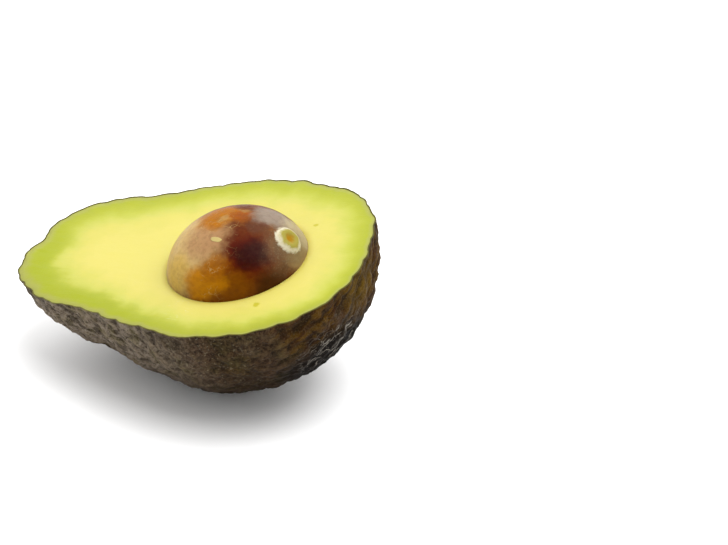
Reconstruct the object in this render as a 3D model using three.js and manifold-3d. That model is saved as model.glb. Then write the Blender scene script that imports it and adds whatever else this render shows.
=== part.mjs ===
// One half of a pebbled-skin avocado, cut lengthwise, with the stone still in its hollow.
// It lies on its belly with the cut face up. Millimetres, +Z up.
// The origin is the middle of the small flat spot that it rests on.
//
// The fruit's own axes start at its middle, in the cut face: u runs along the fruit to its
// wide end, v runs across it to the far side, and w points out of the cut face.

import * as THREE from "three";
import { mergeVertices } from "three/addons/utils/BufferGeometryUtils.js";
import Module from "manifold-3d";

const wasm = await Module();
wasm.setup();

// The fruit: skin outline in the cut face, as a radius every 18 degrees from the wide end
const RIM_RADII = [
  48.0, 46.9, 46.8, 43.6, 39.3, 36.1, 33.8, 34.2, 38.3, 48.6,
  53.2, 53.0, 46.2, 36.1, 33.6, 33.3, 36.7, 40.1, 44.6, 47.7,
];
// A cross-section's depth below the cut, over its half width, as waves of the angle from the wide end
const BELLY_WAVES = [0.96, 0.03, -0.09, 0.045];
const SKIN_THICKNESS = 1.0;
const GAP = 0.3; // between neighbouring pieces

// The scar where the stem came off, a dimple beside the narrow end's tip
const STEM_SCAR = { angle: 184, width: 5.5, depth: 2.0 };

// Skin relief: pebbles on broader swellings, which fade out where the fruit rests
const PEBBLE = { cell: 4.4, height: 0.85, seed: 1 };
const SWELLING = { cell: 11.5, height: 0.55, seed: 2 };
const CELL_REACH = 0.75; // distance from a pebble's top to its foot, in cells
const CELL_JITTER = 0.85;
const RELIEF_MEAN = 0.55;
const CALM_SPOT = { inner: 5, outer: 13 };

// Rest pose: wide end up, far side up, and the fruit's middle above the surface
const TILT = 9.8;
const LEAN = 8.7;
const MIDDLE = new THREE.Vector3(-3.0, -1.6, 35.2);

// The stone: an ellipsoid with its middle a little below the cut face, and a raised scar
const STONE_MIDDLE = new THREE.Vector3(11.0, -0.2, -1.6);
const STONE_RADII = new THREE.Vector3(19.3, 18.9, 14.4);
const KNOB = { azimuth: 14, elevation: 32.5, radius: 4.0, height: 1.1, hollow: 0.5, root: 1.2 };

// Facets
const SKIN_STEPS = 46;
const LINING_STEPS = 20;
const STONE_STEPS = 13;
const HOLLOW_SEGMENTS = 40;
const HOLLOW_ROWS = 14;
const KNOB_SEGMENTS = 24;
const SLOPE_STEP = 0.01;

const radians = THREE.MathUtils.degToRad;
const smoothstep = THREE.MathUtils.smoothstep;

const restPose = new THREE.Matrix4()
  .makeTranslation(MIDDLE)
  .multiply(new THREE.Matrix4().makeRotationY(-radians(TILT)))
  .multiply(new THREE.Matrix4().makeRotationX(radians(LEAN)));

function directionAt(azimuth, elevation) {
  const flat = Math.cos(radians(elevation));
  return new THREE.Vector3(
    flat * Math.cos(radians(azimuth)),
    flat * Math.sin(radians(azimuth)),
    Math.sin(radians(elevation)),
  );
}

// Outline radius at an angle from the wide end, smooth through RIM_RADII
function rimRadius(angle) {
  const count = RIM_RADII.length;
  const place = (((angle / (2 * Math.PI)) % 1) + 1) * count;
  const index = Math.floor(place);
  const t = place - index;
  const [a, b, c, d] = [-1, 0, 1, 2].map((step) => RIM_RADII[(index + step) % count]);
  return b + 0.5 * t * (c - a + t * (2 * a - 5 * b + 4 * c - d + t * (3 * (b - c) + d - a)));
}

// Smooth skin surface. A direction's angle from the wide end picks a cross-section, which
// spans the outline from side to side, and its turn about the long axis picks the point there.
function smoothSkin(direction) {
  const angle = Math.acos(THREE.MathUtils.clamp(direction.x, -1, 1));
  const turn = Math.atan2(-direction.z, direction.y);
  const far = rimRadius(angle);
  const near = rimRadius(-angle);
  const halfU = ((far - near) / 2) * Math.cos(angle);
  const halfV = ((far + near) / 2) * Math.sin(angle);
  const bellyRatio = BELLY_WAVES.reduce((sum, wave, order) => sum + wave * Math.cos(order * angle), 0);
  const depth = bellyRatio * Math.hypot(halfU, halfV);
  return new THREE.Vector3(
    ((far + near) / 2) * Math.cos(angle) + halfU * Math.cos(turn),
    ((far - near) / 2) * Math.sin(angle) + halfV * Math.cos(turn),
    -depth * Math.sin(turn),
  );
}

// Outward normal of the smooth skin, from its slope along two directions
function skinNormal(direction) {
  const aside = Math.abs(direction.x) < 0.9 ? new THREE.Vector3(1, 0, 0) : new THREE.Vector3(0, 1, 0);
  const first = aside.cross(direction).normalize();
  const second = direction.clone().cross(first);
  const slope = (tangent) => {
    const ahead = direction.clone().addScaledVector(tangent, SLOPE_STEP).normalize();
    const behind = direction.clone().addScaledVector(tangent, -SLOPE_STEP).normalize();
    return smoothSkin(ahead).sub(smoothSkin(behind));
  };
  return slope(first).cross(slope(second)).normalize();
}

function scatter(i, j, k, seed) {
  const wave = Math.sin(i * 127.1 + j * 311.7 + k * 74.7 + seed * 53.3) * 43758.5453;
  return wave - Math.floor(wave);
}

// Round bumps, 1 on top and 0 at the foot, one about a scattered point of each cell
function bumps(point, { cell, seed }) {
  const place = point.clone().divideScalar(cell);
  const base = place.clone().floor();
  let nearest = Infinity;
  for (let i = base.x - 1; i <= base.x + 1; i += 1) {
    for (let j = base.y - 1; j <= base.y + 1; j += 1) {
      for (let k = base.z - 1; k <= base.z + 1; k += 1) {
        const top = new THREE.Vector3(
          i + 0.5 + CELL_JITTER * (scatter(i, j, k, seed) - 0.5),
          j + 0.5 + CELL_JITTER * (scatter(i, j, k, seed + 3) - 0.5),
          k + 0.5 + CELL_JITTER * (scatter(i, j, k, seed + 6) - 0.5),
        );
        nearest = Math.min(nearest, top.distanceTo(place));
      }
    }
  }
  return 1 - Math.min(nearest / CELL_REACH, 1) ** 2;
}

function relief(point) {
  const pebbles = PEBBLE.height * (bumps(point, PEBBLE) - RELIEF_MEAN);
  const swellings = SWELLING.height * (bumps(point, SWELLING) - RELIEF_MEAN);
  const distance = point.clone().applyMatrix4(restPose).length();
  return (pebbles + swellings) * smoothstep(distance, CALM_SPOT.inner, CALM_SPOT.outer);
}

const scarDirection = directionAt(STEM_SCAR.angle, 0);

function scarDepth(direction) {
  const off = THREE.MathUtils.radToDeg(direction.angleTo(scarDirection)) / STEM_SCAR.width;
  return STEM_SCAR.depth * Math.exp(-off * off);
}

// Skin surface moved inward by inset, with or without its relief
function skinPoint(direction, inset, hasRelief) {
  const smooth = smoothSkin(direction);
  const rise = (hasRelief ? relief(smooth) : 0) - inset - scarDepth(direction);
  const normal = skinNormal(direction);
  if (direction.z === 0) {
    normal.setZ(0).normalize();
  }
  return smooth.addScaledVector(normal, rise);
}

// Unit sphere with even triangles, and with corners all round its equator
function evenSphere(steps) {
  const sphere = new THREE.OctahedronGeometry(1, steps - 1);
  sphere.deleteAttribute("normal");
  sphere.deleteAttribute("uv");
  const position = sphere.attributes.position;
  const spread = (value, total) => Math.sign(value) * Math.sin((Math.abs(value) / total) * (Math.PI / 2));
  for (let i = 0; i < position.count; i += 1) {
    const corner = new THREE.Vector3().fromBufferAttribute(position, i);
    const total = Math.abs(corner.x) + Math.abs(corner.y) + Math.abs(corner.z);
    corner.set(...corner.toArray().map((value) => spread(value, total))).normalize();
    position.setXYZ(i, ...corner.toArray());
  }
  return mergeVertices(sphere, 1e-5);
}

function moveCorners(geometry, place) {
  const position = geometry.attributes.position;
  for (let i = 0; i < position.count; i += 1) {
    const corner = place(new THREE.Vector3().fromBufferAttribute(position, i));
    position.setXYZ(i, corner.x, corner.y, corner.z);
  }
  return geometry;
}

// Lower half of a unit sphere, closed by a fan of triangles in its equator
function closedHalfSphere(steps) {
  const sphere = evenSphere(steps);
  const position = sphere.attributes.position;
  const faces = [];
  for (let i = 0; i < sphere.index.count; i += 3) {
    const face = [0, 1, 2].map((corner) => sphere.index.getX(i + corner));
    if (face.every((corner) => position.getZ(corner) <= 0)) {
      faces.push(face);
    }
  }
  const points = Array.from(position.array);
  const centre = points.length / 3;
  points.push(0, 0, 0);
  for (const [a, b, c] of [...faces]) {
    for (const [from, to] of [[a, b], [b, c], [c, a]]) {
      if (position.getZ(from) === 0 && position.getZ(to) === 0) {
        faces.push([to, from, centre]);
      }
    }
  }
  const half = new THREE.BufferGeometry();
  half.setAttribute("position", new THREE.Float32BufferAttribute(points, 3));
  half.setIndex(faces.flat());
  return half;
}

function toSolid(geometry) {
  return new wasm.Manifold(new wasm.Mesh({
    numProp: 3,
    vertProperties: new Float32Array(geometry.attributes.position.array),
    triVerts: new Uint32Array(geometry.index.array),
  }));
}

// The fruit inside one skin surface, from the cut face down
function halfFruit(steps, inset, hasRelief) {
  const half = closedHalfSphere(steps);
  return toSolid(moveCorners(half, (corner) => (
    corner.lengthSq() === 0 ? corner : skinPoint(corner.normalize(), inset, hasRelief)
  )));
}

// The whole fruit inside one smooth skin surface, for cutting away
function wholeFruit(steps, inset) {
  return toSolid(moveCorners(evenSphere(steps), (corner) => skinPoint(corner.normalize(), inset, false)));
}

function makeSkin() {
  return halfFruit(SKIN_STEPS, 0, true).subtract(wholeFruit(LINING_STEPS, SKIN_THICKNESS));
}

// The stone's ellipsoid grown by GAP, turned about w, with one row of corners in the cut face
function stoneHollow() {
  const radiusW = STONE_RADII.z + GAP;
  const cutLevel = Math.asin(-STONE_MIDDLE.z / radiusW);
  const lowRows = Math.round(HOLLOW_ROWS * 0.6);
  const profile = [];
  for (let row = 0; row <= HOLLOW_ROWS; row += 1) {
    const level = row <= lowRows
      ? THREE.MathUtils.mapLinear(row, 0, lowRows, -Math.PI / 2, cutLevel)
      : THREE.MathUtils.mapLinear(row, lowRows, HOLLOW_ROWS, cutLevel, Math.PI / 2);
    const isPole = row === 0 || row === HOLLOW_ROWS;
    const height = row === lowRows ? -STONE_MIDDLE.z : radiusW * Math.sin(level);
    profile.push(new THREE.Vector2(isPole ? 0 : Math.cos(level), height));
  }
  const hollow = new THREE.LatheGeometry(profile, HOLLOW_SEGMENTS);
  hollow.rotateX(Math.PI / 2);
  hollow.scale(STONE_RADII.x + GAP, STONE_RADII.y + GAP, 1);
  hollow.translate(...STONE_MIDDLE.toArray());
  return closedLathe(hollow);
}

// A lathe's seam and poles closed into shared corners
function closedLathe(lathe) {
  lathe.deleteAttribute("normal");
  lathe.deleteAttribute("uv");
  const merged = mergeVertices(lathe, 1e-4);
  const kept = [];
  for (let i = 0; i < merged.index.count; i += 3) {
    const [a, b, c] = [0, 1, 2].map((corner) => merged.index.getX(i + corner));
    if (a !== b && b !== c && c !== a) {
      kept.push(a, b, c);
    }
  }
  merged.setIndex(kept);
  return toSolid(merged);
}

function makeFlesh() {
  return halfFruit(LINING_STEPS, SKIN_THICKNESS + GAP, false).subtract(stoneHollow());
}

function stonePoint(direction) {
  return direction.clone().multiply(STONE_RADII).add(STONE_MIDDLE);
}

// The raised scar at the stone's broad end, a low button with a hollowed top
function stoneKnob() {
  const { radius, height, hollow, root } = KNOB;
  const profile = [
    new THREE.Vector2(0, -root),
    new THREE.Vector2(radius * 0.8, -root),
    new THREE.Vector2(radius, 0),
    new THREE.Vector2(radius * 0.9, height * 0.6),
    new THREE.Vector2(radius * 0.65, height),
    new THREE.Vector2(radius * 0.4, height * 0.9),
    new THREE.Vector2(0, height - hollow),
  ];
  const button = new THREE.LatheGeometry(profile, KNOB_SEGMENTS);
  button.rotateX(Math.PI / 2);
  const direction = directionAt(KNOB.azimuth, KNOB.elevation);
  const normal = direction.clone().divide(STONE_RADII).normalize();
  const upright = new THREE.Vector3(0, 0, 1);
  button.applyQuaternion(new THREE.Quaternion().setFromUnitVectors(upright, normal));
  button.translate(...stonePoint(direction).toArray());
  return closedLathe(button);
}

function makeStone() {
  const body = toSolid(moveCorners(evenSphere(STONE_STEPS), (corner) => stonePoint(corner.normalize())));
  return body.add(stoneKnob());
}

// A solid laid in the rest pose, with what would sink into the surface pressed flat
function laidDown(solid, name, finish) {
  const { vertProperties, triVerts } = solid.getMesh();
  const geometry = new THREE.BufferGeometry();
  geometry.setAttribute("position", new THREE.BufferAttribute(new Float32Array(vertProperties), 3));
  geometry.setIndex(new THREE.BufferAttribute(new Uint32Array(triVerts), 1));
  geometry.applyMatrix4(restPose);
  moveCorners(geometry, (corner) => corner.setZ(Math.max(corner.z, 0)));
  geometry.computeVertexNormals();
  const mesh = new THREE.Mesh(geometry, new THREE.MeshStandardMaterial(finish));
  mesh.name = name;
  return mesh;
}

const avocadoHalf = new THREE.Group();
avocadoHalf.add(laidDown(makeSkin(), "skin", { color: 0x3b322c, roughness: 0.6, metalness: 0 }));
avocadoHalf.add(laidDown(makeFlesh(), "flesh", { color: 0xf0e68a, roughness: 0.5, metalness: 0 }));
avocadoHalf.add(laidDown(makeStone(), "stone", { color: 0x7a4a22, roughness: 0.35, metalness: 0 }));

export default avocadoHalf;
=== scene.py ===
# Looks for one half of a pebbled-skin avocado, cut lengthwise, with the stone in its hollow.
# Shapes are worked out in millimetres along the fruit's own axes: u runs along it to the wide
# end, v across it to the far side, and w out of the cut face. They are then laid in the rest
# pose and scaled to metres.

import math

import bpy
import numpy as np
from mathutils import Matrix, Vector


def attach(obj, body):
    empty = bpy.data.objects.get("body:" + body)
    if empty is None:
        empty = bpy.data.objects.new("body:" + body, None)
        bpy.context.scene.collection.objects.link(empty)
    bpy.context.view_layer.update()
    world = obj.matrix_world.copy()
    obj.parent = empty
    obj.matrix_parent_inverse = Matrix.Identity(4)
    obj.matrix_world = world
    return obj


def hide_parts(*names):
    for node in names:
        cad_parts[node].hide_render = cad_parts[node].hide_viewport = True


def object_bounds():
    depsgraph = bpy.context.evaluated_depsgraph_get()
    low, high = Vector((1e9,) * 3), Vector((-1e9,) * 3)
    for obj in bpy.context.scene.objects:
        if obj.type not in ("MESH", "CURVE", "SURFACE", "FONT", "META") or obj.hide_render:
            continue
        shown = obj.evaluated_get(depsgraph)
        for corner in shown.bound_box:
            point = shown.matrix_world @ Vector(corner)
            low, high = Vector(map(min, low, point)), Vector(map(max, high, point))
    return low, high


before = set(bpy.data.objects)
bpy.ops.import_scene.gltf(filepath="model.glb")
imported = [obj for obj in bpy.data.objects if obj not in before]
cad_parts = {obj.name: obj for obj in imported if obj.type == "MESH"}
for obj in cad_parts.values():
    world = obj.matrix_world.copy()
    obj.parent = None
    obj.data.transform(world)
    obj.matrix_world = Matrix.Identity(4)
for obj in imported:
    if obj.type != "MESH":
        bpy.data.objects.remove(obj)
cad_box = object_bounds()

MM = 0.001

# The fruit, as in the CAD source
RIM_RADII = np.array([
    48.0, 46.9, 46.8, 43.6, 39.3, 36.1, 33.8, 34.2, 38.3, 48.6,
    53.2, 53.0, 46.2, 36.1, 33.6, 33.3, 36.7, 40.1, 44.6, 47.7,
])
BELLY_WAVES = (0.96, 0.03, -0.09, 0.045)
STEM_SCAR = {"angle": 184, "width": 5.5, "depth": 2.0}
PEBBLE = {"cell": 4.4, "height": 0.85, "seed": 1}
SWELLING = {"cell": 11.5, "height": 0.55, "seed": 2}
CELL_REACH = 0.75
CELL_JITTER = 0.85
RELIEF_MEAN = 0.55
CALM_SPOT = (5, 13)
TILT = 9.8
LEAN = 8.7
MIDDLE = np.array([-3.0, -1.6, 35.2])
STONE_MIDDLE = np.array([11.0, -0.2, -1.6])
STONE_RADII = np.array([19.3, 18.9, 14.4])
KNOB = {"azimuth": 14, "elevation": 32.5, "radius": 4.0}
SLOPE_STEP = 0.01

# Thin layers and clearances that only the looks have
SKIN_EDGE = 0.3  # the skin's thickness where the knife went through it
SKIN_LINING = 1.6  # and its lining's depth further down, below the deepest crease
BOX_MARGIN = 0.05
SEAM = 0.03
LINING_DROP = 0.06  # how far below the cut, as a share, the lining reaches its full depth

# Fine relief of the skin, all of it sunk into the pebbles
WARTS = {"cell": 2.3, "depth": 0.26, "seed": 11}
NET = {"cell": 2.7, "depth": 0.34, "width": 0.14, "seed": 14}
LEATHER = {"size": 0.9, "depth": 0.14, "seed": 21}
FOLDS = {"depth": 0.75, "seed": 31}
RIDGES = {"depth": 0.6, "seed": 41}
RIDGE_ALONG = np.array([0.0, -0.86, -0.50])
RIDGE_ACROSS = np.array([0.0, -0.50, 0.86])
NECK_SPAN = (-12, 20)  # places along the fruit, toward its neck, where folds grow to full depth
END_SPAN = (30, 43)  # and toward its wide end, where ridges do
RIM_CALM = 0.25  # share of the fine relief that is left at the cut
RIM_SPAN = (0.3, 3.5)  # depths below the cut where it grows to full depth

# Fine shape of the cut face and the stone
CUT_WAVES = {"depth": 0.14, "seed": 51}
KNOB_WOBBLE = {"share": 0.12, "size": 2.2, "seed": 61}
STONE_DENTS = {"depth": 0.16, "size": 6, "seed": 71}
STONE_GRAIN = {"depth": 0.05, "size": 0.9, "seed": 75}

# Mesh fineness
SKIN_STEPS = 180
LINING_STEPS = 60
STONE_STEPS = 100
CUT_ROWS = 56
HOLLOW_ROWS = 16
UNDER_ROWS = 20

# Camera, fitted to the photo's view
LENS = 3500 / 728 * 36
CAMERA_PLACE = np.array([450.455, -656.518, 507.770])
CAMERA_RIGHT = (0.85111856, 0.52497293, 0.00067368)
CAMERA_DOWN = (0.27094238, -0.43816872, -0.85708716)
CAMERA_FORWARD = (-0.44965237, 0.72966540, -0.51517099)

# Stage, in metres
STAGE_LIGHT = 2.12  # light on a level face, where 1 makes a white one just white
FLOOR_REACH = 6.0
KEY_PLACE = (0.40, 0.05, 1.2)
KEY_TARGET = (0, 0, 0.02)
KEY_SIZE = (1.1, 0.9)
KEY_POWER = 13
DARK_SIDE = (0.38, -0.60, 0.70)  # where the studio's walls aren't lit
DARK_SIDE_LIGHT = 0.06
WALL_LIGHT = 2.1


def rest_rotation():
    tilt, lean = math.radians(TILT), math.radians(LEAN)
    about_x = np.array([
        [1, 0, 0],
        [0, math.cos(lean), -math.sin(lean)],
        [0, math.sin(lean), math.cos(lean)],
    ])
    about_y = np.array([
        [math.cos(tilt), 0, -math.sin(tilt)],
        [0, 1, 0],
        [math.sin(tilt), 0, math.cos(tilt)],
    ])
    return about_y @ about_x


REST_ROTATION = rest_rotation()


def laid_down(points):
    """Fruit points in the rest pose, still in millimetres."""
    return points @ REST_ROTATION.T + MIDDLE


def direction_at(azimuth, elevation):
    azimuth, elevation = math.radians(azimuth), math.radians(elevation)
    flat = math.cos(elevation)
    return np.array([flat * math.cos(azimuth), flat * math.sin(azimuth), math.sin(elevation)])


def unit(vectors):
    return vectors / np.linalg.norm(vectors, axis=-1, keepdims=True)


def smoothstep(value, low, high):
    t = np.clip((value - low) / (high - low), 0, 1)
    return t * t * (3 - 2 * t)


# Noise, the same on every run

def scatter(cells, seed):
    wave = np.sin(cells @ np.array([127.1, 311.7, 74.7]) + seed * 53.3) * 43758.5453
    return wave - np.floor(wave)


def nearest_two(points, cell, seed):
    """Distance, in cells, to the nearest and second nearest scattered point."""
    place = points / cell
    base = np.floor(place)
    first = np.full(len(points), np.inf)
    second = np.full(len(points), np.inf)
    for step in np.ndindex(3, 3, 3):
        corner = base + np.array(step) - 1
        jitter = np.stack([scatter(corner, seed + shift) for shift in (0, 3, 6)], axis=1) - 0.5
        distance = np.linalg.norm(corner + 0.5 + CELL_JITTER * jitter - place, axis=1)
        second = np.minimum(second, np.maximum(first, distance))
        first = np.minimum(first, distance)
    return first, second


def bumps(points, cell, seed):
    first, _ = nearest_two(points, cell, seed)
    return 1 - np.minimum(first / CELL_REACH, 1) ** 2


def soft_noise(points, seed):
    """Smooth noise from 0 to 1 with features about one unit wide."""
    base = np.floor(points)
    t = points - base
    t = t * t * (3 - 2 * t)
    total = np.zeros(len(points))
    for step in np.ndindex(2, 2, 2):
        weight = np.prod(np.where(np.array(step) == 1, t, 1 - t), axis=1)
        total += weight * scatter(base + np.array(step), seed)
    return total


def layered_noise(points, seed, layers=3):
    total, share, whole = 0, 1.0, 0
    for layer in range(layers):
        total = total + share * soft_noise(points * 2 ** layer, seed + layer)
        whole += share
        share *= 0.5
    return total / whole


# The fruit's surface

def rim_radius(angle):
    count = len(RIM_RADII)
    place = ((angle / (2 * math.pi)) % 1 + 1) * count
    index = np.floor(place).astype(int)
    t = place - index
    a, b, c, d = (RIM_RADII[(index + step) % count] for step in (-1, 0, 1, 2))
    return b + 0.5 * t * (c - a + t * (2 * a - 5 * b + 4 * c - d + t * (3 * (b - c) + d - a)))


def smooth_skin(directions):
    angle = np.arccos(np.clip(directions[:, 0], -1, 1))
    turn = np.arctan2(-directions[:, 2], directions[:, 1])
    far, near = rim_radius(angle), rim_radius(-angle)
    half_u = (far - near) / 2 * np.cos(angle)
    half_v = (far + near) / 2 * np.sin(angle)
    ratio = sum(wave * np.cos(order * angle) for order, wave in enumerate(BELLY_WAVES))
    depth = ratio * np.hypot(half_u, half_v)
    return np.stack([
        (far + near) / 2 * np.cos(angle) + half_u * np.cos(turn),
        (far - near) / 2 * np.sin(angle) + half_v * np.cos(turn),
        -depth * np.sin(turn),
    ], axis=1)


def skin_normals(directions):
    along = np.abs(directions[:, :1]) < 0.9
    aside = np.where(along, np.array([[1.0, 0, 0]]), np.array([[0, 1.0, 0]]))
    first = unit(np.cross(aside, directions))
    second = np.cross(directions, first)

    def slope(tangents):
        ahead = smooth_skin(unit(directions + tangents * SLOPE_STEP))
        behind = smooth_skin(unit(directions - tangents * SLOPE_STEP))
        return ahead - behind

    normals = unit(np.cross(slope(first), slope(second)))
    normals[:, 2] *= smoothstep(-directions[:, 2], 0, 0.08)
    return unit(normals)


def calm(points):
    return smoothstep(np.linalg.norm(laid_down(points), axis=1), *CALM_SPOT)


def relief(points):
    pebbles = PEBBLE["height"] * (bumps(points, PEBBLE["cell"], PEBBLE["seed"]) - RELIEF_MEAN)
    swellings = SWELLING["height"] * (bumps(points, SWELLING["cell"], SWELLING["seed"]) - RELIEF_MEAN)
    return (pebbles + swellings) * calm(points)


def scar_depth(directions):
    off = np.degrees(np.arccos(np.clip(directions @ direction_at(STEM_SCAR["angle"], 0), -1, 1)))
    return STEM_SCAR["depth"] * np.exp(-(off / STEM_SCAR["width"]) ** 2)


def net_lines(points):
    """A net of thin raised lines about long slanting cells, strongest at the neck, 1 on a line."""
    u, v, w = points.T
    drawn = np.stack([(u - w) / 2.8, (u + w) / 1.4, v], axis=1)
    first, second = nearest_two(drawn, NET["cell"], NET["seed"])
    return np.exp(-((second - first) / NET["width"]) ** 2)


def fine_depth(points):
    """Small warts, a net of raised lines, slanting folds at the neck and ridges at the wide end."""
    warts = WARTS["depth"] * (1 - bumps(points, WARTS["cell"], WARTS["seed"]))
    grain = LEATHER["depth"] * layered_noise(points / LEATHER["size"], LEATHER["seed"])
    u, v, w = points.T
    slant = np.stack([(u - w) / 8, (u + w) / 2.4, v / 4], axis=1)
    neck = smoothstep(-u, *NECK_SPAN)
    net = NET["depth"] * (0.3 + 0.7 * neck) * (1 - net_lines(points))
    folds = FOLDS["depth"] * neck * layered_noise(slant, FOLDS["seed"], 2)
    streak = np.stack([points @ RIDGE_ALONG / 9, points @ RIDGE_ACROSS / 1.7, u / 6], axis=1)
    end = smoothstep(u, *END_SPAN)
    ridges = RIDGES["depth"] * end * np.abs(2 * soft_noise(streak, RIDGES["seed"]) - 1)
    return warts + net + grain + folds + ridges


def fine_relief(points):
    fade = RIM_CALM + (1 - RIM_CALM) * smoothstep(-points[:, 2], *RIM_SPAN)
    return fine_depth(points) * calm(points) * fade


def crest_share(points):
    """0 in the fine relief's creases, 1 on its crests."""
    u = points[:, 0]
    usual = 0.28 + 0.5 * smoothstep(-u, *NECK_SPAN) + 0.12 * smoothstep(u, *END_SPAN)
    return np.clip(0.5 + (usual - fine_depth(points)) / 0.6, 0, 1)


def skin_points(directions, inset, is_fine=False):
    smooth = smooth_skin(directions)
    rise = relief(smooth) - scar_depth(directions) - inset
    if is_fine:
        rise = rise - fine_relief(smooth)
    return smooth + skin_normals(directions) * rise[:, None]


# Meshes

def even_rows(steps, is_half):
    """Directions over the lower half of a sphere, or all of it, in even rows from the bottom."""
    last = steps if is_half else 2 * steps
    rows = []
    for row in range(last + 1):
        size = min(row, 2 * steps - row)
        height = (row - steps) / steps
        if size == 0:
            rows.append(np.array([[0.0, 0.0, np.sign(height)]]))
            continue
        share = np.arange(size) / size
        reach = size / steps
        quarter = np.stack([(1 - share) * reach, share * reach], axis=1)
        turns = [quarter, quarter[:, ::-1] * (-1, 1), quarter * (-1, -1), quarter[:, ::-1] * (1, -1)]
        ring = np.concatenate(turns)
        corners = np.column_stack([ring, np.full(len(ring), height)])
        rows.append(unit(np.sign(corners) * np.sin(np.abs(corners) * math.pi / 2)))
    return rows


def row_faces(sizes, starts):
    """Triangles between neighbouring rows whose quarters hold sizes[row] steps."""
    faces = []
    for row in range(len(sizes) - 1):
        (small, low), (large, high) = sorted(
            [(sizes[row], starts[row]), (sizes[row + 1], starts[row + 1])])
        is_up = sizes[row + 1] > sizes[row]
        quarter, step = np.divmod(np.arange(4 * large), large)
        outer = high + np.arange(4 * large)
        outer_next = high + (np.arange(4 * large) + 1) % (4 * large)
        inner_count = max(4 * small, 1)
        inner = low + (quarter * small + step) % inner_count
        first = np.column_stack([outer, outer_next, inner])
        middle = step > 0
        inner_before = low + (quarter * small + step - 1) % inner_count
        second = np.column_stack([inner, inner_before, outer])[middle]
        pair = np.concatenate([first, second])
        faces.append(pair if is_up else pair[:, ::-1])
    return np.concatenate(faces)


def even_sphere(steps, is_half):
    rows = even_rows(steps, is_half)
    sizes = [min(row, 2 * steps - row) for row in range(len(rows))]
    starts = np.concatenate([[0], np.cumsum([len(row) for row in rows])])
    return np.concatenate(rows), row_faces(sizes, starts[:-1])


def ring_faces(first, second, count):
    """Quads between two rings of count corners that start at these indexes."""
    index = np.arange(count)
    after = (index + 1) % count
    return np.column_stack([first + index, first + after, second + after, second + index])


def fan_faces(ring, pole, count, is_flipped):
    index = np.arange(count)
    after = (index + 1) % count
    corners = [ring + after, ring + index] if is_flipped else [ring + index, ring + after]
    return np.column_stack([*corners, np.full(count, pole)])


def make_piece(name, points, faces, attributes, node, sharp=50):
    """A mesh from fruit points, laid in the rest pose and kept in the CAD box."""
    low, high = (np.array(corner) / MM for corner in cad_box)
    laid = np.clip(laid_down(points), low + BOX_MARGIN, high - BOX_MARGIN)
    if node == "skin":
        laid[:, 2] = np.where(laid[:, 2] <= low[2] + BOX_MARGIN, low[2], laid[:, 2])
    mesh = bpy.data.meshes.new(name)
    mesh.from_pydata((laid * MM).tolist(), [], [face for part in faces for face in part.tolist()])
    for label, values in attributes.items():
        layer = mesh.attributes.new(label, "FLOAT", "POINT")
        layer.data.foreach_set("value", values.astype(np.float32))
    mesh.validate()
    mesh.shade_smooth()
    mesh.set_sharp_from_angle(angle=math.radians(sharp))
    piece = bpy.data.objects.new(name, mesh)
    bpy.context.scene.collection.objects.link(piece)
    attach(piece, "root")
    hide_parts(node)
    return piece


def make_skin():
    outer, outer_faces = even_sphere(SKIN_STEPS, True)
    inner, inner_faces = even_sphere(LINING_STEPS, True)
    outer_points = skin_points(outer, 0, True)
    depth = smoothstep(-inner[:, 2], 0, LINING_DROP)
    inner_points = skin_points(inner, SKIN_EDGE + (SKIN_LINING - SKIN_EDGE) * depth, True)
    start = len(outer)
    ratio = SKIN_STEPS // LINING_STEPS
    outer_ring = start - 4 * SKIN_STEPS
    inner_ring = start + len(inner) - 4 * LINING_STEPS
    index = np.arange(4 * SKIN_STEPS)
    after = (index + 1) % (4 * SKIN_STEPS)
    held = (index + ratio // 2) // ratio % (4 * LINING_STEPS)
    strip = np.column_stack([outer_ring + after, outer_ring + index, inner_ring + held])
    turn = np.nonzero(held != np.roll(held, -1))[0]
    between = np.column_stack([
        outer_ring + after[turn], inner_ring + held[turn], inner_ring + np.roll(held, -1)[turn],
    ])
    faces = [outer_faces[:, ::-1], inner_faces + start, strip[:, ::-1], between[:, ::-1]]
    smooth = smooth_skin(outer)
    height = np.concatenate([relief(smooth), np.full(len(inner), -1.0)])
    crest = np.concatenate([crest_share(smooth), np.zeros(len(inner))])
    points = np.concatenate([outer_points, inner_points])
    return make_piece("skin_rind", points, faces, {"height_mm": height, "crest": crest}, "skin")


def cut_undulation(points, from_stone, from_rim):
    """Slight dips that a knife leaves, and edges that round off at the stone and the skin."""
    place = np.column_stack([points[:, 0] / 15, points[:, 1] / 9, np.zeros(len(points))])
    waves = CUT_WAVES["depth"] * layered_noise(place, CUT_WAVES["seed"], 2)
    return -waves - 0.15 * np.exp(-from_stone / 0.4) - 0.08 * np.exp(-from_rim / 0.5)


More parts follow.
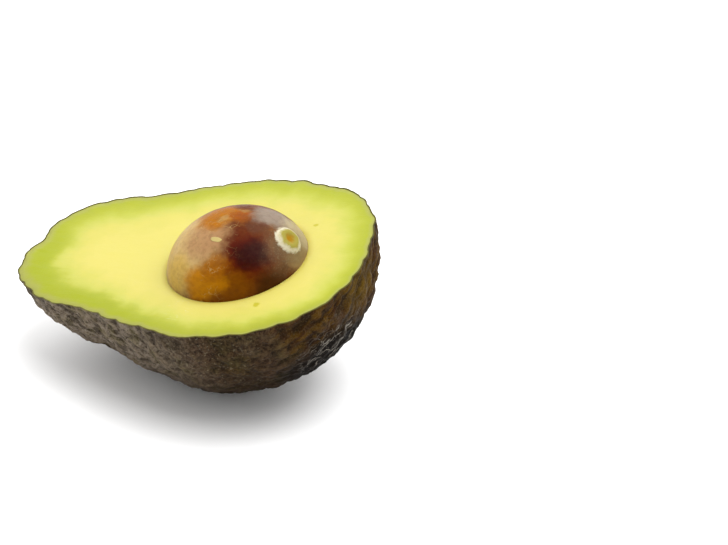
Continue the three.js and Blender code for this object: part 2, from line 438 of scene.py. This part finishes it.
def make_flesh():
    ring = even_rows(SKIN_STEPS, True)[-1]
    count = len(ring)
    azimuth = np.arctan2(ring[:, 1], ring[:, 0])
    outline = skin_points(ring, SKIN_EDGE + SEAM, True)
    outline[:, 2] = 0
    radii = STONE_RADII + SEAM
    cut_level = math.asin(-STONE_MIDDLE[2] / radii[2])
    rows, faces, rim_distance, stone_distance = [], [], [], []

    rows.append(np.array([STONE_MIDDLE - (0, 0, radii[2])]))
    for level in np.linspace(-math.pi / 2, cut_level, HOLLOW_ROWS + 1)[1:]:
        around = np.column_stack([
            math.cos(level) * np.cos(azimuth),
            math.cos(level) * np.sin(azimuth),
            np.full(count, math.sin(level)),
        ])
        rows.append(around * radii + STONE_MIDDLE)
    hollow_edge = rows[-1] * (1, 1, 0)
    share = 0.5 - 0.5 * np.cos(np.linspace(0, math.pi, CUT_ROWS + 1)[1:])
    for part in share:
        rows.append(hollow_edge * (1 - part) + outline * part)
    for drop in np.linspace(0, -math.pi / 2, UNDER_ROWS + 1)[1:-1]:
        lowered = unit(ring * (1, 1, 0) + np.array([0, 0, math.tan(drop)]))
        inset = SKIN_EDGE + SEAM + (SKIN_LINING - SKIN_EDGE) * smoothstep(-drop, 0, LINING_DROP)
        rows.append(skin_points(lowered, inset, True))
    bottom = skin_points(np.array([[0.0, 0.0, -1.0]]), SKIN_LINING + SEAM, False)
    rows.append(bottom)

    points = np.concatenate(rows)
    starts = np.concatenate([[0], np.cumsum([len(row) for row in rows])])
    gap = np.linalg.norm(points[:, None, :2] - outline[None, ::2, :2], axis=2).min(axis=1)
    inner_gap = np.linalg.norm(points[:, None, :2] - hollow_edge[None, ::4, :2], axis=2).min(axis=1)
    face_start, face_end = starts[HOLLOW_ROWS], starts[HOLLOW_ROWS + CUT_ROWS + 1]
    on_face = np.zeros(len(points), bool)
    on_face[face_start:face_end] = True
    points[on_face, 2] = cut_undulation(points[on_face], inner_gap[on_face], gap[on_face])
    rim = np.where(on_face, gap, np.where(np.arange(len(points)) < face_start, gap, 0))

    faces.append(fan_faces(starts[1], 0, count, False))
    for row in range(1, len(rows) - 2):
        faces.append(ring_faces(starts[row + 1], starts[row], count))
    faces.append(fan_faces(starts[len(rows) - 2], starts[len(rows) - 1], count, True))
    attributes = {"rim_mm": rim, "stone_mm": inner_gap}
    return make_piece("flesh_cut", points, faces, attributes, "flesh")


def knob_height(points, directions):
    """How far the stone's scar stands up: a ring about a shallow hollow."""
    middle_direction = direction_at(KNOB["azimuth"], KNOB["elevation"])
    middle = middle_direction * STONE_RADII + STONE_MIDDLE
    normal = unit(middle_direction / STONE_RADII)
    away = points - middle
    flat = away - np.outer(away @ normal, normal)
    uneven = layered_noise(points / KNOB_WOBBLE["size"], KNOB_WOBBLE["seed"]) - 0.5
    wobble = 1 + KNOB_WOBBLE["share"] * uneven
    share = np.linalg.norm(flat, axis=1) / (KNOB["radius"] * wobble)
    share = np.where(directions @ middle_direction > 0, share, 9)
    profile = np.interp(
        share,
        [0, 0.22, 0.45, 0.66, 0.86, 1.0, 1.12],
        [0.45, 0.5, 0.9, 0.98, 0.6, 0.12, 0],
    )
    return profile, normal, share


def make_stone():
    directions, faces = even_sphere(STONE_STEPS, False)
    points = directions * STONE_RADII + STONE_MIDDLE
    height, normal, share = knob_height(points, directions)
    outward = unit(directions / STONE_RADII)
    dents = STONE_DENTS["depth"] * layered_noise(points / STONE_DENTS["size"], STONE_DENTS["seed"], 3)
    grain = STONE_GRAIN["depth"] * layered_noise(points / STONE_GRAIN["size"], STONE_GRAIN["seed"], 2)
    above = smoothstep(points[:, 2], 0.2, 2.0)
    points = points + np.outer(height, normal) - outward * ((dents + grain) * above)[:, None]
    return make_piece("stone_seed", points, [faces[:, ::-1]], {"knob": share}, "stone", 80)


# Finishes

def linear(red, green, blue):
    """Surface colour that looks so, from 0 to 255, on a level face under the stage's light."""
    def channel(value):
        value = value / 255
        return (value / 12.92 if value <= 0.04045 else ((value + 0.055) / 1.055) ** 2.4) / STAGE_LIGHT
    return (channel(red), channel(green), channel(blue), 1.0)


class Finish:
    """One material, with a short call for each kind of node that the finishes use."""

    def __init__(self, name):
        self.material = bpy.data.materials.new(name)
        self.material.use_nodes = True
        self.nodes = self.material.node_tree.nodes
        self.links = self.material.node_tree.links
        self.shader = self.nodes["Principled BSDF"]

    def set(self, socket, value):
        if isinstance(value, bpy.types.NodeSocket):
            self.links.new(value, socket)
        else:
            socket.default_value = value

    def fruit_place(self):
        """Place along the fruit's axes, in millimetres."""
        coordinates = self.nodes.new("ShaderNodeTexCoord")
        mapping = self.nodes.new("ShaderNodeMapping")
        mapping.vector_type = "TEXTURE"
        self.links.new(coordinates.outputs["Object"], mapping.inputs["Vector"])
        mapping.inputs["Location"].default_value = tuple(MIDDLE * MM)
        mapping.inputs["Rotation"].default_value = (math.radians(LEAN), -math.radians(TILT), 0)
        mapping.inputs["Scale"].default_value = (MM, MM, MM)
        return mapping.outputs["Vector"]

    def attribute(self, name):
        node = self.nodes.new("ShaderNodeAttribute")
        node.attribute_name = name
        return node.outputs["Fac"]

    def calculate(self, operation, *values, clamp=False):
        node = self.nodes.new("ShaderNodeMath")
        node.operation = operation
        node.use_clamp = clamp
        for socket, value in zip(node.inputs, values):
            self.set(socket, value)
        return node.outputs["Value"]

    def vector(self, operation, *values):
        node = self.nodes.new("ShaderNodeVectorMath")
        node.operation = operation
        for socket, value in zip(node.inputs, values):
            self.set(socket, value)
        is_number = operation in ("DISTANCE", "LENGTH", "DOT_PRODUCT")
        return node.outputs["Value" if is_number else "Vector"]

    def axis(self, vector, name):
        node = self.nodes.new("ShaderNodeSeparateXYZ")
        self.links.new(vector, node.inputs["Vector"])
        return node.outputs[name]

    def noise(self, place, scale, detail=3.0, roughness=0.5, distortion=0.0):
        node = self.nodes.new("ShaderNodeTexNoise")
        self.links.new(place, node.inputs["Vector"])
        node.inputs["Scale"].default_value = scale
        node.inputs["Detail"].default_value = detail
        node.inputs["Roughness"].default_value = roughness
        node.inputs["Distortion"].default_value = distortion
        return node.outputs["Fac"]

    def warped(self, place, scale, amount):
        """The place moved about by noise, so that an edge isn't a plain circle."""
        node = self.nodes.new("ShaderNodeTexNoise")
        self.links.new(place, node.inputs["Vector"])
        node.inputs["Scale"].default_value = scale
        node.inputs["Detail"].default_value = 4.0
        shift = self.vector("SUBTRACT", node.outputs["Color"], (0.5, 0.5, 0.5))
        return self.vector("ADD", place, self.vector("MULTIPLY", shift, (amount,) * 3))

    def drawn_out(self, place, along, length, across, width):
        """The place squeezed along one direction and across it, so that a pattern is drawn out."""
        node = self.nodes.new("ShaderNodeCombineXYZ")
        for name, direction, size in (("X", along, length), ("Y", across, width)):
            share = self.vector("DOT_PRODUCT", place, tuple(direction))
            self.links.new(self.calculate("DIVIDE", share, size), node.inputs[name])
        self.links.new(self.calculate("DIVIDE", self.axis(place, "X"), width * 2), node.inputs["Z"])
        return node.outputs["Vector"]

    def crossing(self, value, width):
        """Thin wandering lines where a noise passes its middle value."""
        return self.span(self.calculate("ABSOLUTE", self.calculate("SUBTRACT", value, 0.5)), width, 0.0)

    def cracks(self, place, scale, width):
        """Thin lines, 1 on the line, that part the surface into uneven cells."""
        node = self.nodes.new("ShaderNodeTexVoronoi")
        node.feature = "DISTANCE_TO_EDGE"
        self.links.new(place, node.inputs["Vector"])
        node.inputs["Scale"].default_value = scale
        return self.span(node.outputs["Distance"], width, 0.0)

    def span(self, value, start, end, low=0.0, high=1.0):
        """value from start to end brought smoothly to low..high."""
        node = self.nodes.new("ShaderNodeMapRange")
        node.interpolation_type = "SMOOTHSTEP"
        self.set(node.inputs["Value"], value)
        node.inputs["From Min"].default_value = start
        node.inputs["From Max"].default_value = end
        node.inputs["To Min"].default_value = low
        node.inputs["To Max"].default_value = high
        return node.outputs["Result"]

    def zone(self, place, centre, inner, outer):
        """1 within inner of the centre, fading to 0 at outer."""
        return self.span(self.vector("DISTANCE", place, tuple(centre)), outer, inner)

    def times(self, *values):
        result = values[0]
        for value in values[1:]:
            result = self.calculate("MULTIPLY", result, value)
        return result

    def mix(self, share, first, second):
        node = self.nodes.new("ShaderNodeMix")
        node.data_type = "RGBA"
        self.set(node.inputs[0], share)
        self.set(node.inputs[6], first)
        self.set(node.inputs[7], second)
        return node.outputs[2]

    def ramp(self, value, stops):
        node = self.nodes.new("ShaderNodeValToRGB")
        self.links.new(value, node.inputs["Fac"])
        elements = node.color_ramp.elements
        while len(elements) < len(stops):
            elements.new(0.5)
        for element, (place, colour) in zip(elements, stops):
            element.position = place
            element.color = colour
        return node.outputs["Color"]

    def bump(self, height, distance, strength=1.0):
        node = self.nodes.new("ShaderNodeBump")
        self.links.new(height, node.inputs["Height"])
        node.inputs["Distance"].default_value = distance * MM
        node.inputs["Strength"].default_value = strength
        self.links.new(node.outputs["Normal"], self.shader.inputs["Normal"])


def skin_finish():
    finish = Finish("pebbled_skin")
    place = finish.fruit_place()
    height = finish.attribute("height_mm")
    fine = finish.noise(place, 0.9, 5.0, 0.65)
    patch = finish.noise(place, 0.22, 4.0, 0.6)
    broad = finish.noise(place, 0.07, 3.0, 0.5)
    tone = finish.span(fine, 0.36, 0.66)

    brown = finish.mix(tone, linear(52, 37, 18), linear(98, 76, 44))
    olive = finish.mix(tone, linear(52, 44, 18), linear(98, 86, 50))
    purple = finish.mix(tone, linear(60, 39, 27), linear(108, 84, 64))
    colour = finish.mix(finish.span(patch, 0.42, 0.6), brown, olive)
    colour = finish.mix(finish.span(broad, 0.42, 0.62, 0.0, 0.8), colour, purple)

    along = finish.axis(place, "X")
    # Painted sheen together with the skin's own grey bloom: the neck's near side is made a lighter grey.
    near_side = finish.span(finish.axis(place, "Y"), 12, -8, 0.35, 1.0)
    neck = finish.times(finish.span(along, 24, -8), near_side)
    neck_grey = finish.mix(tone, linear(117, 102, 86), linear(190, 175, 157))
    olive_grey = finish.mix(tone, linear(99, 87, 58), linear(156, 144, 113))
    neck_bloom_and_sheen = finish.mix(finish.span(patch, 0.5, 0.64), neck_grey, olive_grey)
    colour = finish.mix(finish.times(neck, 0.9), colour, neck_bloom_and_sheen)
    low = finish.span(finish.axis(place, "Z"), -10, -32)

    drawn = finish.drawn_out(place, RIDGE_ALONG, 8.0, RIDGE_ACROSS, 1.7)
    streak = finish.noise(drawn, 1.0, 3.0, 0.5)
    end_olive = finish.mix(finish.span(streak, 0.4, 0.6), linear(70, 36, 4), linear(112, 78, 12))
    end = finish.span(along, 34, 42)
    upper = finish.span(finish.axis(place, "Z"), -20, -10)
    colour = finish.mix(finish.times(end, upper, 0.85), colour, end_olive)
    olive_zone = finish.zone(finish.warped(place, 0.12, 8), (47.5, 4.0, -3.0), 4, 14)
    colour = finish.mix(finish.times(olive_zone, 0.75), colour, linear(116, 88, 14))

    # Painted highlight on the pebbles' tops and painted shade in their hollows.
    colour = finish.mix(finish.span(height, -0.1, 0.6, 0.0, 0.2), colour, linear(140, 120, 94))
    colour = finish.mix(finish.span(height, -0.1, -0.6, 0.0, 0.4), colour, linear(44, 32, 18))
    # Painted shade in the fine relief's creases, and painted highlights on its crests, stronger at the neck.
    crest = finish.attribute("crest")
    colour = finish.mix(finish.span(crest, 0.5, 0.1, 0.0, 0.6), colour, linear(40, 30, 18))
    lit = finish.calculate("ADD", 0.1, finish.times(neck, 0.42))
    crest_highlight_colour = finish.mix(neck, linear(144, 108, 50), linear(190, 172, 146))
    colour = finish.mix(finish.times(finish.span(crest, 0.52, 0.95), lit), colour, crest_highlight_colour)
    speck = finish.noise(place, 2.4, 3.0, 0.6)
    speckled = finish.times(finish.span(speck, 0.5, 0.72), finish.span(along, 30, 0, 0.16, 0.4))
    colour = finish.mix(speckled, colour, linear(160, 142, 116))
    colour = finish.mix(finish.span(speck, 0.5, 0.3, 0.0, 0.4), colour, linear(36, 25, 14))
    # Painted shade: small dark spots for the shade in tiny pits.
    pits = finish.noise(finish.vector("ADD", place, (31.0, 7.0, 5.0)), 0.9, 2.0, 0.5)
    colour = finish.mix(finish.span(pits, 0.4, 0.3, 0.0, 0.6), colour, linear(30, 22, 13))
    glints = finish.noise(finish.vector("ADD", place, (5.0, 17.0, 9.0)), 1.5, 1.0, 0.5)
    glint = finish.times(finish.span(glints, 0.62, 0.7), finish.span(along, 38, 22, 0.1, 0.42))
    colour = finish.mix(glint, colour, linear(164, 152, 126))
    # Painted shade: the skin is darkened toward the bottom.
    colour = finish.mix(finish.times(low, 0.75), colour, linear(40, 26, 16))
    # Painted shade: low on the wide end's near side the skin is made nearly black.
    painted_shade_zone = finish.zone(finish.warped(place, 0.1, 8), (39.0, -8.0, -22.0), 8, 19)
    colour = finish.mix(finish.times(painted_shade_zone, 0.92), colour, linear(12, 7, 4))

    # Painted highlights: thin pale lines along lit wrinkle edges, low on the wide end's near side.
    lit_edge_zone = finish.zone(finish.warped(place, 0.15, 9), (41.0, -8.0, -17.0), 5, 14)
    broken = finish.span(finish.noise(place, 0.35, 3.0), 0.42, 0.54)
    threads = finish.drawn_out(finish.warped(place, 0.5, 1.2), RIDGE_ALONG, 9.0, RIDGE_ACROSS, 2.0)
    highlight_line = finish.crossing(finish.noise(threads, 1.0, 1.0, 0.4), 0.034)
    crosswise = finish.crossing(finish.noise(finish.warped(place, 0.6, 2.0), 0.42, 1.0, 0.4), 0.018)
    highlight_line = finish.calculate("MAXIMUM", highlight_line, finish.times(crosswise, 0.7))
    colour = finish.mix(finish.times(highlight_line, lit_edge_zone, broken, 0.65), colour, linear(224, 214, 198))

    edge = finish.span(finish.axis(place, "Z"), -0.3, -0.05)
    colour = finish.mix(finish.times(edge, 0.75), colour, linear(132, 126, 66))

    finish.set(finish.shader.inputs["Base Color"], colour)
    finish.set(finish.shader.inputs["Roughness"], finish.span(fine, 0.3, 0.7, 0.46, 0.7))
    finish.shader.inputs["IOR"].default_value = 1.15
    finish.shader.inputs["Specular IOR Level"].default_value = 0.2
    finish.bump(finish.calculate("ADD", speck, fine), 0.3)
    return finish.material


def flesh_finish():
    finish = Finish("avocado_flesh")
    place = finish.fruit_place()
    flow = finish.vector("MULTIPLY", place, (0.25, 1.0, 1.0))
    streak = finish.noise(flow, 0.5, 4.0, 0.55, 0.4)
    mottle = finish.noise(place, 0.12, 3.0, 0.5)
    rim = finish.attribute("rim_mm")
    along = finish.axis(place, "X")
    stretch = finish.span(along, -6, -46, 1.0, 0.7)
    uneven = finish.calculate("ADD", finish.span(streak, 0.25, 0.75, 0.92, 1.08),
                              finish.span(mottle, 0.3, 0.7, -0.16, 0.16))
    side = finish.span(finish.axis(place, "Y"), 15, -15, 0.9, 1.14)
    wide = finish.span(along, 20, 44, 1.0, 1.2)
    near_neck = finish.span(finish.vector("DOT_PRODUCT", place, (-0.5, -0.87, 0.0)), 17, 32)
    broader = finish.calculate("SUBTRACT", 1.0, finish.times(near_neck, 0.3))
    depth = finish.times(rim, stretch, uneven, side, wide, broader, 1 / 20)
    colour = finish.ramp(depth, [
        (0.0, linear(188, 186, 92)),
        (0.035, linear(196, 200, 84)),
        (0.08, linear(198, 206, 46)),
        (0.15, linear(204, 211, 52)),
        (0.25, linear(219, 223, 80)),
        (0.37, linear(234, 232, 106)),
        (0.52, linear(247, 237, 116)),
        (0.75, linear(255, 242, 126)),
    ])
    near_rim = finish.times(finish.span(finish.axis(place, "Y"), -8, -22), finish.span(depth, 0.4, 0.04))
    colour = finish.mix(finish.times(near_rim, 0.3), colour, linear(172, 174, 56))
    lime = finish.times(near_neck, finish.span(depth, 0.35, 0.18), finish.span(depth, 0.03, 0.12))
    colour = finish.mix(finish.times(lime, 0.68), colour, linear(186, 199, 0))
    golden = finish.span(finish.attribute("stone_mm"), 2.0, 0.0)
    colour = finish.mix(finish.times(golden, 0.5), colour, linear(232, 205, 84))
    for centre, size in (((24.3, 18.8, 0.0), 0.9), ((27.5, -16.8, 0.0), 1.3)):
        fleck = finish.zone(finish.warped(place, 0.8, 1.2), centre, size * 0.5, size)
        colour = finish.mix(finish.times(fleck, 0.8), colour, linear(216, 208, 20))
    nicked = finish.zone(place, (8.0, -23.7, 0.0), 2.5, 6)
    nick = finish.span(finish.noise(finish.vector("MULTIPLY", place, (0.5, 2.2, 1.0)), 1.3, 2.0), 0.62, 0.72)
    colour = finish.mix(finish.times(nicked, nick, 0.8), colour, linear(250, 246, 190))

    finish.set(finish.shader.inputs["Base Color"], colour)
    finish.shader.inputs["Subsurface Weight"].default_value = 0.35
    finish.shader.inputs["Subsurface Radius"].default_value = (1.0, 0.75, 0.25)
    finish.shader.inputs["Subsurface Scale"].default_value = 1.6 * MM
    finish.set(finish.shader.inputs["Roughness"], finish.span(streak, 0.3, 0.7, 0.34, 0.5))
    finish.shader.inputs["IOR"].default_value = 1.3
    finish.shader.inputs["Specular IOR Level"].default_value = 0.3
    finish.bump(finish.calculate("ADD", streak, finish.noise(place, 1.6, 4.0, 0.6)), 0.05)
    return finish.material


STONE_ZONES = (
    # azimuth, elevation, inner, outer, strength, colour
    (-44, 47, 0.22, 0.70, 0.96, (100, 20, 0)),
    (-33, 45, 0.12, 0.36, 0.95, (54, 4, 0)),
    (-139, 39, 0.40, 0.98, 0.95, (248, 210, 136)),
    (-120, 24, 0.15, 0.42, 0.8, (244, 200, 92)),
    (-110, 66, 0.15, 0.50, 0.85, (204, 154, 106)),
    (-62, 19, 0.16, 0.44, 0.9, (150, 86, 2)),
    (-86, 24, 0.20, 0.42, 0.95, (222, 144, 0)),
    (-75, 40, 0.08, 0.30, 0.85, (190, 114, 2)),
    (150, 77, 0.20, 0.42, 0.97, (204, 124, 0)),
    (56, 76, 0.06, 0.24, 0.9, (176, 90, 0)),
    (125, 86, 0.03, 0.13, 0.7, (208, 164, 92)),
    # Painted sheen: a pale grey-lilac patch where the stone catches the bright light behind it.
    (46, 50, 0.18, 0.40, 0.85, (180, 164, 146)),
    (36, 22, 0.20, 0.44, 0.9, (222, 204, 160)),
    (8, 61, 0.05, 0.22, 0.85, (112, 66, 44)),
    (73, 70, 0.02, 0.10, 0.7, (200, 156, 88)),
    (-26, 6, 0.12, 0.48, 0.85, (72, 40, 3)),
    (9, 12, 0.12, 0.36, 0.85, (196, 162, 100)),
)


def stone_finish():
    finish = Finish("stone_coat")
    place = finish.fruit_place()
    from_middle = finish.vector("SUBTRACT", place, tuple(STONE_MIDDLE))
    local = finish.vector("DIVIDE", from_middle, tuple(STONE_RADII))
    wavy = finish.warped(finish.warped(local, 3.0, 0.3), 10.0, 0.14)
    grain = finish.noise(local, 14.0, 5.0, 0.65)
    cloud = finish.noise(local, 5.0, 4.0, 0.6, 0.6)

    colour = finish.mix(finish.span(cloud, 0.35, 0.65), linear(116, 56, 10), linear(146, 80, 22))
    for azimuth, elevation, inner, outer, strength, shade in STONE_ZONES:
        share = finish.zone(wavy, direction_at(azimuth, elevation), inner, outer)
        colour = finish.mix(finish.times(share, strength), colour, linear(*shade))
    colour = finish.mix(finish.span(grain, 0.6, 0.36, 0, 0.2), colour, linear(84, 44, 12))

    crackle = finish.cracks(finish.warped(local, 5.0, 0.22), 7.0, 0.035)
    broken = finish.span(finish.noise(local, 6.0, 3.0), 0.5, 0.62)
    light_side = finish.span(finish.axis(local, "X"), 0.55, 0.0)
    colour = finish.mix(finish.times(crackle, broken, light_side, 0.6), colour, linear(222, 190, 120))

    bloom_zone = finish.zone(wavy, direction_at(7, 27), 0.15, 0.58)
    speck = finish.span(finish.noise(local, 38.0, 3.0, 0.7), 0.52, 0.7)
    colour = finish.mix(finish.times(bloom_zone, speck, 0.6), colour, linear(182, 164, 128))
    colour = finish.mix(finish.times(bloom_zone, 0.6), colour, linear(134, 118, 86))

    from_flake = finish.vector("SUBTRACT", local, tuple(direction_at(-80, 67.5)))
    flake_axis = finish.vector("MULTIPLY", from_flake, (1.0, 2.2, 1.6))
    flake = finish.span(finish.vector("LENGTH", finish.warped(flake_axis, 9.0, 0.06)), 0.1, 0.075)
    colour = finish.mix(flake, colour, linear(232, 208, 132))

    knob = finish.attribute("knob")
    torn = finish.calculate("ADD", knob, finish.span(grain, 0.3, 0.7, -0.07, 0.07))
    colour = finish.mix(finish.span(torn, 1.1, 0.9), colour, linear(255, 244, 210))
    colour = finish.mix(finish.span(torn, 0.9, 0.62, 0, 0.92), colour, linear(184, 170, 46))
    colour = finish.mix(finish.span(torn, 0.5, 0.15, 0, 0.95), colour, linear(196, 140, 4))

    finish.set(finish.shader.inputs["Base Color"], colour)
    finish.set(finish.shader.inputs["Roughness"], finish.span(grain, 0.3, 0.7, 0.3, 0.46))
    finish.shader.inputs["IOR"].default_value = 1.15
    finish.shader.inputs["Specular IOR Level"].default_value = 0.3
    finish.shader.inputs["Subsurface Weight"].default_value = 0.05
    finish.shader.inputs["Subsurface Scale"].default_value = 1.0 * MM
    finish.bump(finish.calculate("ADD", grain, finish.times(flake, 1.5)), 0.1)
    return finish.material


# Stage

def floor_finish():
    finish = Finish("pale_floor")
    place = finish.fruit_place()
    cloud = finish.noise(place, 0.01, 2.0)
    colour = finish.mix(cloud, (0.88, 0.88, 0.88, 1.0), (0.91, 0.91, 0.91, 1.0))
    finish.set(finish.shader.inputs["Base Color"], colour)
    finish.shader.inputs["Roughness"].default_value = 0.7
    finish.shader.inputs["Specular IOR Level"].default_value = 0.2
    return finish.material


def make_floor():
    reach = FLOOR_REACH
    mesh = bpy.data.meshes.new("floor")
    corners = [(-reach, -reach, 0), (reach, -reach, 0), (reach, reach, 0), (-reach, reach, 0)]
    mesh.from_pydata(corners, [], [(0, 1, 2, 3)])
    floor = bpy.data.objects.new("floor", mesh)
    bpy.context.scene.collection.objects.link(floor)
    floor.data.materials.append(floor_finish())


def add_softbox(name, place, target, size, power):
    light = bpy.data.lights.new(name, "AREA")
    light.shape = "RECTANGLE"
    light.size, light.size_y = size
    light.energy = power
    lamp = bpy.data.objects.new(name, light)
    bpy.context.scene.collection.objects.link(lamp)
    lamp.location = place
    lamp.rotation_euler = (Vector(target) - Vector(place)).to_track_quat("-Z", "Y").to_euler()


def smooth_range(nodes, links, value, start, end, low, high):
    node = nodes.new("ShaderNodeMapRange")
    node.interpolation_type = "SMOOTHSTEP"
    links.new(value, node.inputs["Value"])
    node.inputs["From Min"].default_value = start
    node.inputs["From Max"].default_value = end
    node.inputs["To Min"].default_value = low
    node.inputs["To Max"].default_value = high
    return node.outputs["Result"]


def light_stage():
    """Bright walls all round that fade toward the floor, with one dark side, and a key light."""
    world = bpy.data.worlds.new("studio")
    bpy.context.scene.world = world
    world.use_nodes = True
    background = world.node_tree.nodes["Background"]
    nodes, links = world.node_tree.nodes, world.node_tree.links
    direction = nodes.new("ShaderNodeTexCoord").outputs["Generated"]
    facing = nodes.new("ShaderNodeVectorMath")
    facing.operation = "DOT_PRODUCT"
    links.new(direction, facing.inputs[0])
    facing.inputs[1].default_value = DARK_SIDE
    strength = smooth_range(nodes, links, facing.outputs["Value"], 0.9, 0.7, DARK_SIDE_LIGHT, WALL_LIGHT)
    split = nodes.new("ShaderNodeSeparateXYZ")
    links.new(direction, split.inputs["Vector"])
    rise = smooth_range(nodes, links, split.outputs["Z"], 0.05, 0.5, 0.25, 1.0)
    both = nodes.new("ShaderNodeMath")
    both.operation = "MULTIPLY"
    links.new(strength, both.inputs[0])
    links.new(rise, both.inputs[1])
    background.inputs["Color"].default_value = (1.0, 1.0, 1.0, 1.0)
    links.new(both.outputs["Value"], background.inputs["Strength"])
    add_softbox("key", KEY_PLACE, KEY_TARGET, KEY_SIZE, KEY_POWER)
    view = bpy.context.scene.view_settings
    view.view_transform = "Standard"
    view.look = "None"
    view.exposure = 0.0


def make_camera():
    data = bpy.data.cameras.new("camera")
    data.sensor_width = 36
    data.sensor_fit = "HORIZONTAL"
    data.lens = LENS
    data.clip_start, data.clip_end = 0.05, 20
    camera = bpy.data.objects.new("camera", data)
    bpy.context.scene.collection.objects.link(camera)
    turn = Matrix([CAMERA_RIGHT, [-x for x in CAMERA_DOWN], [-x for x in CAMERA_FORWARD]]).transposed()
    camera.matrix_world = Matrix.Translation(CAMERA_PLACE * MM) @ turn.to_4x4()
    bpy.context.scene.camera = camera


make_camera()
make_floor()
light_stage()
make_skin().data.materials.append(skin_finish())
make_flesh().data.materials.append(flesh_finish())
make_stone().data.materials.append(stone_finish())
